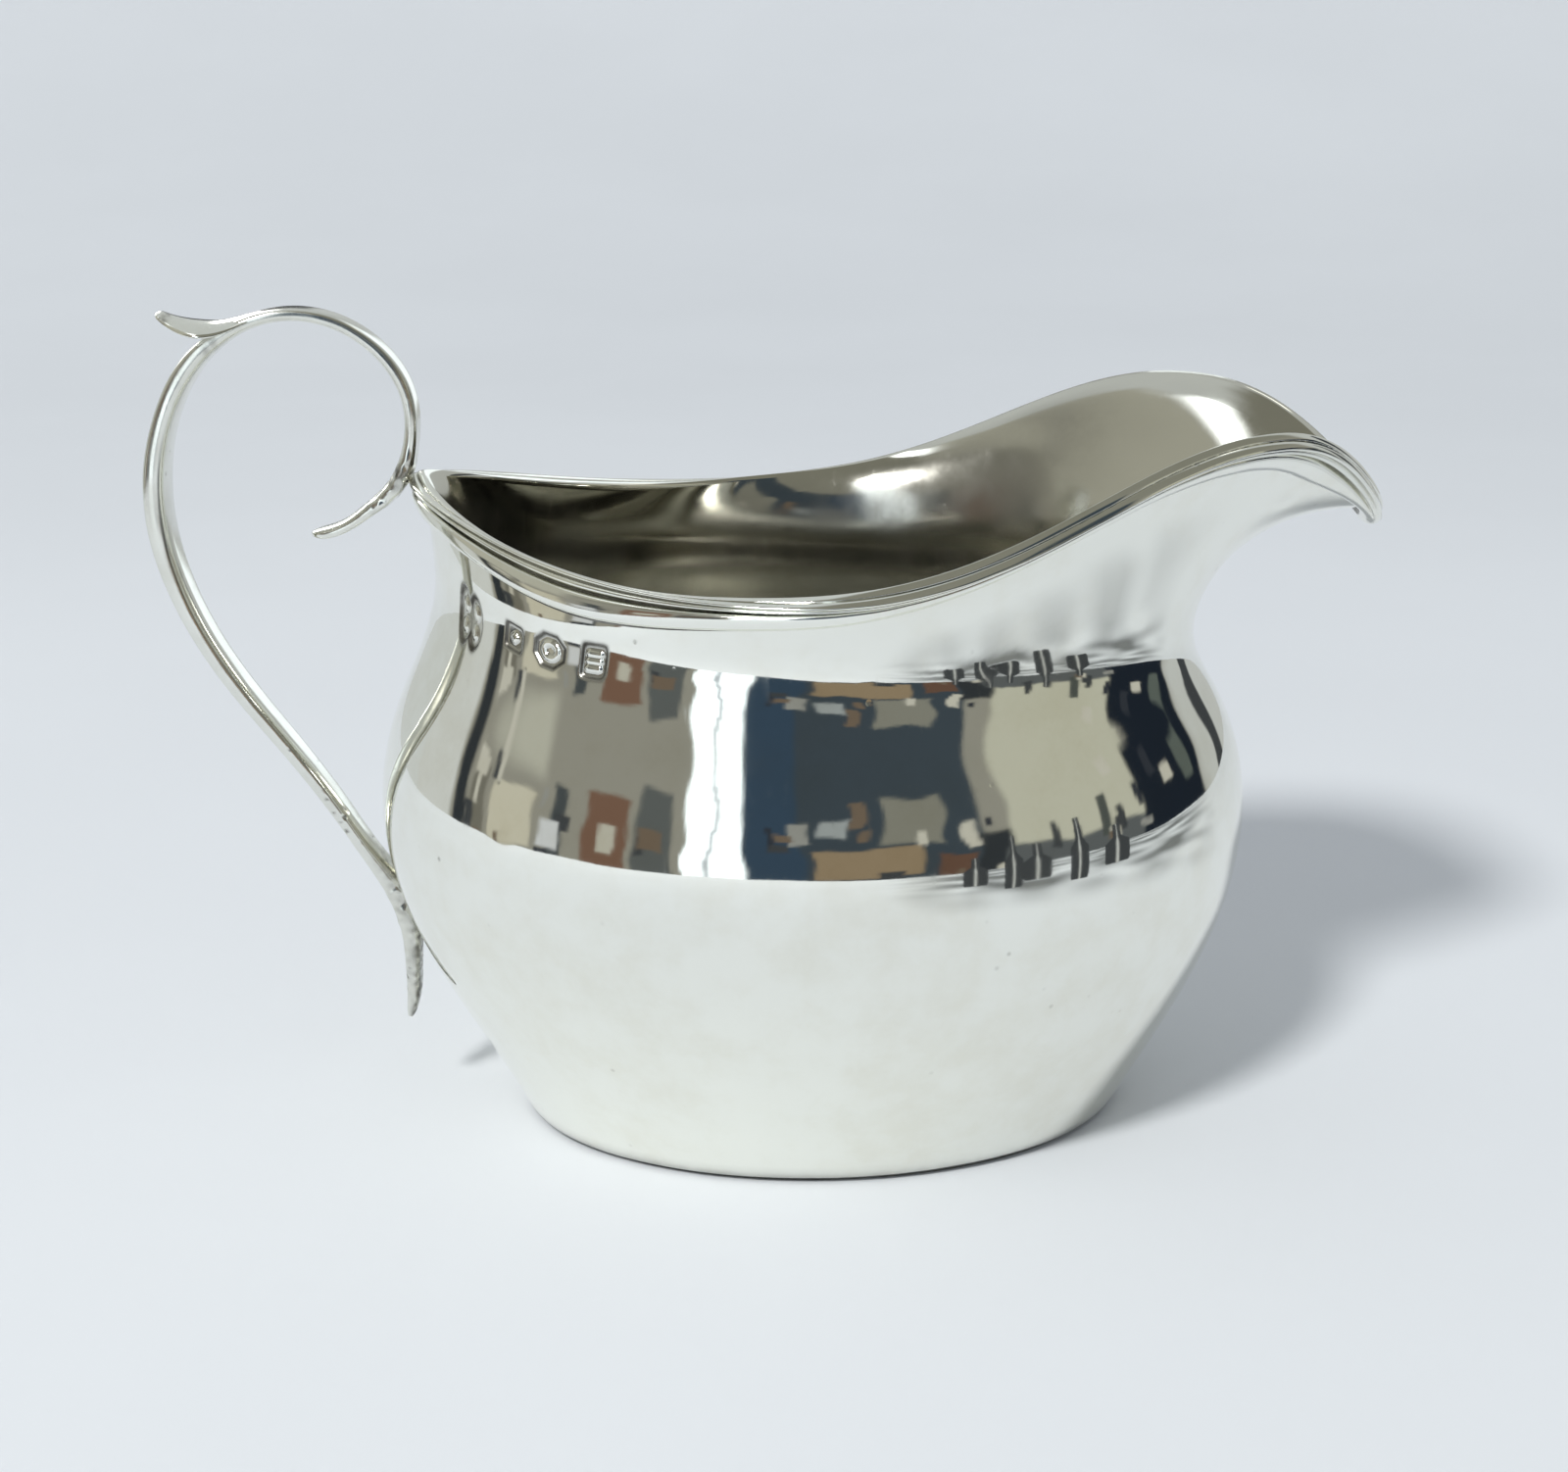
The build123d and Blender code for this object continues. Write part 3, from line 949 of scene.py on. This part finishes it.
# What stands in front of the clutter, the bright windows among it
ROOM_FRONT = [
    (128, 4, -8, 24, 1.2, (0.05, 0.055, 0.06)),
    (-62, 3, -2, 6, 0.8, (0.56, 0.58, 0.60)),
    (-165, 3, -8, 18, 1.2, (0.06, 0.065, 0.07)),
    (-97, 13, 64, 73, 7.0, (3.0, 3.15, 3.25)),
    (-147, 12, 15, 31, 4.0, (9.0, 9.0, 8.7)),
    (150, 8, 50, 58, 3.0, (1.8, 1.8, 1.7)),
]
ROOM_RADIUS = 0.5
ROOM_CENTRE = 0.035
LIGHT_BEARING = -28.0
LIGHT_RISE = 42.0
LIGHT_REACH = 2.5
LIGHT_WIDTH = 0.42
LIGHT_HOLE = 8
# Bottles on the table, as the silver sees them: bearing, distance, height, width
BOTTLES = [
    (33, 0.22, 0.040, 0.022),
    (41, 0.18, 0.056, 0.013),
    (47, 0.21, 0.046, 0.025),
    (57, 0.17, 0.058, 0.015),
    (69, 0.21, 0.043, 0.028),
]
# A bottle's outline: share of its height, share of its width; then where its mesh has columns
BOTTLE_OUTLINE = ((0.0, 0.9), (0.08, 1.0), (0.55, 1.0), (0.7, 0.35), (1.0, 0.3))
BOTTLE_SIDES = (-1.0, -0.2, 0.0, 0.2, 1.0)
BOTTLE_FOOT = 0.0005
DARK_GLASS = (0.05, 0.055, 0.06, 1)
GLASS_GLINT = (0.55, 0.57, 0.56, 1)
# The room's mesh in degrees, and the part of the table where its dark side lies, in degrees and metres
ROOM_COLUMNS = 480
ROOM_RISES = (-12.0, 90.0, 0.75)
SHADE_BEARINGS = (8.0, 116.0, 1.5)
SHADE_RADII = (0.105, 0.5, 60)
SHADE_HEIGHT = 0.0004
CLUTTER = 75
CLUTTER_SEED = 7


def soft_box(values, low, high, edge):
    """1 between low and high, falling to 0 over the given softness."""
    rise = np.clip((values - low) / edge + 0.5, 0, 1)
    fall = np.clip((high - values) / edge + 0.5, 0, 1)
    rise = rise * rise * (3 - 2 * rise)
    return rise * fall * fall * (3 - 2 * fall)


def room_clutter():
    """Small things on shelves and walls, in the same places on every run."""
    draw = random.Random(CLUTTER_SEED)
    tones = [
        (0.05, 0.055, 0.06), (0.15, 0.115, 0.085), (0.50, 0.49, 0.43), (0.27, 0.275, 0.26),
        (0.03, 0.035, 0.045),
    ]
    things = []
    for _ in range(CLUTTER):
        bearing = draw.uniform(-180, 180)
        foot = draw.uniform(-8, 16)
        half = draw.uniform(0.5, 2.6)
        top = foot + draw.uniform(1.5, 8)
        things.append((bearing, half, foot, top, 0.6, draw.choice(tones)))
    return [thing for thing in things if -98 < thing[0] < -32 or -12 < thing[0] < 112]


def room_colours(bearings, rises):
    """Colour of the room in each direction, given in degrees."""
    wobble_b = np.array([2.2 * ripple((b, e, 0.0), 9.0, 31) for b, e in zip(bearings, rises)])
    wobble_e = np.array([1.8 * ripple((b, e, 5.0), 8.0, 32) for b, e in zip(bearings, rises)])
    bearings = bearings + wobble_b
    rises = rises + wobble_e
    height = soft_box(rises, 30, 200, 16)[:, None]
    colours = np.array(LOW_ROOM) * (1 - height) + np.array(CEILING) * height
    for bearing, half, low, high, edge, colour in ROOM + room_clutter() + ROOM_FRONT:
        gap = (bearings - bearing + 180) % 360 - 180
        mask = (soft_box(gap, -half, half, edge) * soft_box(rises, low, high, edge))[:, None]
        colours = colours * (1 - mask) + np.array(colour) * mask
    return colours


def standing_shapes():
    """Flat upright outlines of bottles: wide below, narrow above, with a pale line down the middle."""
    verts, faces, tones = [], [], []
    for bearing, away, tall, wide in BOTTLES:
        towards = Vector((sin(radians(bearing)), -cos(radians(bearing)), 0))
        across = Vector((-towards.y, towards.x, 0))
        first = len(verts)
        for share, breadth in BOTTLE_OUTLINE:
            for side in BOTTLE_SIDES:
                place = towards * away + across * (side * breadth * wide / 2)
                verts.append((place.x, place.y, BOTTLE_FOOT + share * tall))
                tones.append(GLASS_GLINT if side == 0.0 else DARK_GLASS)
        faces += grid_faces(len(BOTTLE_OUTLINE), len(BOTTLE_SIDES), first)
    return verts, faces, tones


def room_material():
    """Glow that takes its colour from the mesh and lets what is behind show where the mesh says so."""
    material = bpy.data.materials.new("room glow")
    material.use_nodes = True
    tree = material.node_tree
    tree.nodes.remove(tree.nodes["Principled BSDF"])
    tone = add(tree, "ShaderNodeAttribute", attribute_name="room")
    glow = add(tree, "ShaderNodeEmission")
    clear = add(tree, "ShaderNodeBsdfTransparent")
    mix = add(tree, "ShaderNodeMixShader")
    tree.links.new(tone.outputs["Color"], glow.inputs["Color"])
    tree.links.new(tone.outputs["Alpha"], mix.inputs[0])
    tree.links.new(clear.outputs[0], mix.inputs[1])
    tree.links.new(glow.outputs[0], mix.inputs[2])
    tree.links.new(mix.outputs[0], tree.nodes["Material Output"].inputs["Surface"])
    return material


def reflected_only(name, verts, faces, colours, material):
    """A stage surface that only polished pieces see."""
    mesh = bpy.data.meshes.new(name)
    mesh.from_pydata(verts, [], faces)
    layer = mesh.attributes.new("room", "FLOAT_COLOR", "POINT")
    layer.data.foreach_set("color", np.asarray(colours, dtype=np.float32).ravel())
    mesh.materials.append(material)
    card = show(name, mesh)
    for ray in ("camera", "diffuse", "shadow", "transmission", "volume_scatter"):
        setattr(card, f"visible_{ray}", False)


class JUG_OT_stage(bpy.types.Operator):
    """Pale table, the room seen in the silver, soft lights and the camera"""

    bl_idname = "jug.stage"
    bl_label = "Stage"

    def execute(self, context):
        colours = context.scene.jug_colours
        studio = context.scene.jug_studio
        self.table(colours.table)
        self.room()
        self.lights(studio)
        self.camera(studio)
        return {"FINISHED"}

    def table(self, colour):
        """A wide flat sheet whose far edge sweeps up like a paper backdrop, on every side."""
        profile = [(0.0, 0.0)] + [(FLAT_RADIUS * i / 8, 0.0) for i in range(1, 9)]
        for i in range(1, 41):
            share = i / 40
            profile.append((FLAT_RADIUS + (DISH_RADIUS - FLAT_RADIUS) * share, DISH_HEIGHT * share**3))
        steps = 128
        verts = [(0.0, 0.0, 0.0)]
        faces = []
        for radius, height in profile[1:]:
            for step in range(steps):
                turn = 2 * pi * step / steps
                verts.append((radius * cos(turn), radius * sin(turn), height))
        for step in range(steps):
            faces.append((0, 1 + step, 1 + (step + 1) % steps))
        for ring in range(len(profile) - 2):
            for step in range(steps):
                a = 1 + ring * steps + step
                b = 1 + ring * steps + (step + 1) % steps
                faces.append((a, a + steps, b + steps, b))
        mesh = bpy.data.meshes.new("table")
        mesh.from_pydata(verts, [], faces)
        for face in mesh.polygons:
            face.use_smooth = True
        mesh.materials.append(table_material(colour))
        show("table", mesh)

    def room(self):
        """A round room with a gap where the lamp shines in, and what the silver sees on the table."""
        material = room_material()
        columns = ROOM_COLUMNS
        first, last, step = ROOM_RISES
        rises = np.arange(first, last + step / 2, step)
        bearings = -180 + 360 * np.arange(columns) / columns
        grid_b = np.tile(bearings, len(rises))
        grid_e = np.repeat(rises, columns)
        reach = ROOM_RADIUS * np.cos(np.radians(grid_e))
        x = reach * np.sin(np.radians(grid_b))
        y = -reach * np.cos(np.radians(grid_b))
        z = ROOM_CENTRE + ROOM_RADIUS * np.sin(np.radians(grid_e))
        colours = np.hstack([room_colours(grid_b, grid_e), np.ones((len(grid_b), 1))])
        faces = []
        for ring in range(len(rises) - 1):
            for column in range(columns):
                bearing, rise = bearings[column], rises[ring]
                aside = (bearing - LIGHT_BEARING) * cos(radians(LIGHT_RISE))
                if hypot(aside, rise - LIGHT_RISE) < LIGHT_HOLE:
                    continue
                a = ring * columns + column
                b = ring * columns + (column + 1) % columns
                faces.append((a, b, b + columns, a + columns))
        reflected_only("room", np.stack([x, y, z], axis=1), faces, colours, material)

        self.table_shade(material)
        reflected_only("room_bottles", *standing_shapes(), material)

    def table_shade(self, material):
        """The room's dark side as it lies mottled on the table, seen in the silver only."""
        bearings = np.arange(*SHADE_BEARINGS)
        radii = np.linspace(*SHADE_RADII)
        grid_b = np.tile(bearings, len(radii))
        grid_r = np.repeat(radii, len(bearings))
        mottle = np.array([ripple((b * 0.09, r * 22.0, 0.0), 1.0, 41) for b, r in zip(grid_b, grid_r)])
        shade = soft_box(grid_b, 22, 104, 22) * np.clip((grid_r - 0.108) / 0.07, 0, 1)
        shade *= np.clip(0.5 + 1.1 * mottle, 0, 0.9)
        tones = np.stack([0.10 + 0.08 * mottle, 0.11 + 0.08 * mottle, 0.115 + 0.07 * mottle, shade], axis=1)
        x = grid_r * np.sin(np.radians(grid_b))
        y = -grid_r * np.cos(np.radians(grid_b))
        faces = grid_faces(len(radii), len(bearings))
        verts = np.stack([x, y, np.full(len(x), SHADE_HEIGHT)], axis=1)
        reflected_only("room_floor", verts, faces, np.clip(tones, 0, 1), material)

    def lights(self, studio):
        """A soft lamp from the front left and even light from all round."""
        world = bpy.data.worlds.new("studio")
        world.use_nodes = True
        background = world.node_tree.nodes["Background"]
        background.inputs["Color"].default_value = (0.93, 0.965, 1.0, 1.0)
        background.inputs["Strength"].default_value = studio.sky
        bpy.context.scene.world = world
        light = bpy.data.lights.new("window light", "AREA")
        light.shape = "DISK"
        light.size = LIGHT_WIDTH
        light.energy = studio.window
        light.color = (1.0, 0.995, 0.98)
        lamp = show("window light", light)
        bearing, rise = radians(LIGHT_BEARING), radians(LIGHT_RISE)
        towards = Vector((sin(bearing) * cos(rise), -cos(bearing) * cos(rise), sin(rise)))
        lamp.location = towards * LIGHT_REACH
        lamp.rotation_euler = towards.to_track_quat("Z", "Y").to_euler()
        bpy.context.scene.view_settings.view_transform = "Standard"

    def camera(self, studio):
        camera = bpy.data.cameras.new("camera")
        camera.sensor_width = SENSOR
        camera.lens = studio.lens
        camera.clip_start = 0.01
        holder = show("camera", camera)
        right = Vector(CAMERA_RIGHT).normalized()
        up = Vector(CAMERA_UP).normalized()
        turn = Matrix((right, up, right.cross(up))).transposed().to_4x4()
        holder.matrix_world = Matrix.Translation(CAMERA_PLACE) @ turn
        bpy.context.scene.camera = holder


class JUG_PT_panel(bpy.types.Panel):
    bl_idname = "JUG_PT_panel"
    bl_label = "Cream jug"
    bl_space_type = "VIEW_3D"
    bl_region_type = "UI"
    bl_category = "Cream jug"

    def draw(self, context):
        layout = self.layout
        for group in (context.scene.jug_sizes, context.scene.jug_colours, context.scene.jug_studio):
            for name in group.__annotations__:
                layout.prop(group, name)
        for operator in OPERATORS:
            layout.operator(operator.bl_idname)


OPERATORS = (
    JUG_OT_body,
    JUG_OT_base_plate,
    JUG_OT_rim_moulding,
    JUG_OT_handle,
    JUG_OT_thumbpiece,
    JUG_OT_stage,
)
GROUPS = (JugSizes, JugColours, JugStudio)


def register():
    for item in (*GROUPS, *OPERATORS, JUG_PT_panel):
        bpy.utils.register_class(item)
    bpy.types.Scene.jug_sizes = PointerProperty(type=JugSizes)
    bpy.types.Scene.jug_colours = PointerProperty(type=JugColours)
    bpy.types.Scene.jug_studio = PointerProperty(type=JugStudio)


def unregister():
    del bpy.types.Scene.jug_studio
    del bpy.types.Scene.jug_colours
    del bpy.types.Scene.jug_sizes
    for item in reversed((*GROUPS, *OPERATORS, JUG_PT_panel)):
        bpy.utils.unregister_class(item)


def main():
    register()
    bpy.ops.jug.body()
    bpy.ops.jug.base_plate()
    bpy.ops.jug.rim_moulding()
    bpy.ops.jug.handle()
    bpy.ops.jug.thumbpiece()
    bpy.ops.jug.stage()


if __name__ == "__main__":
    main()
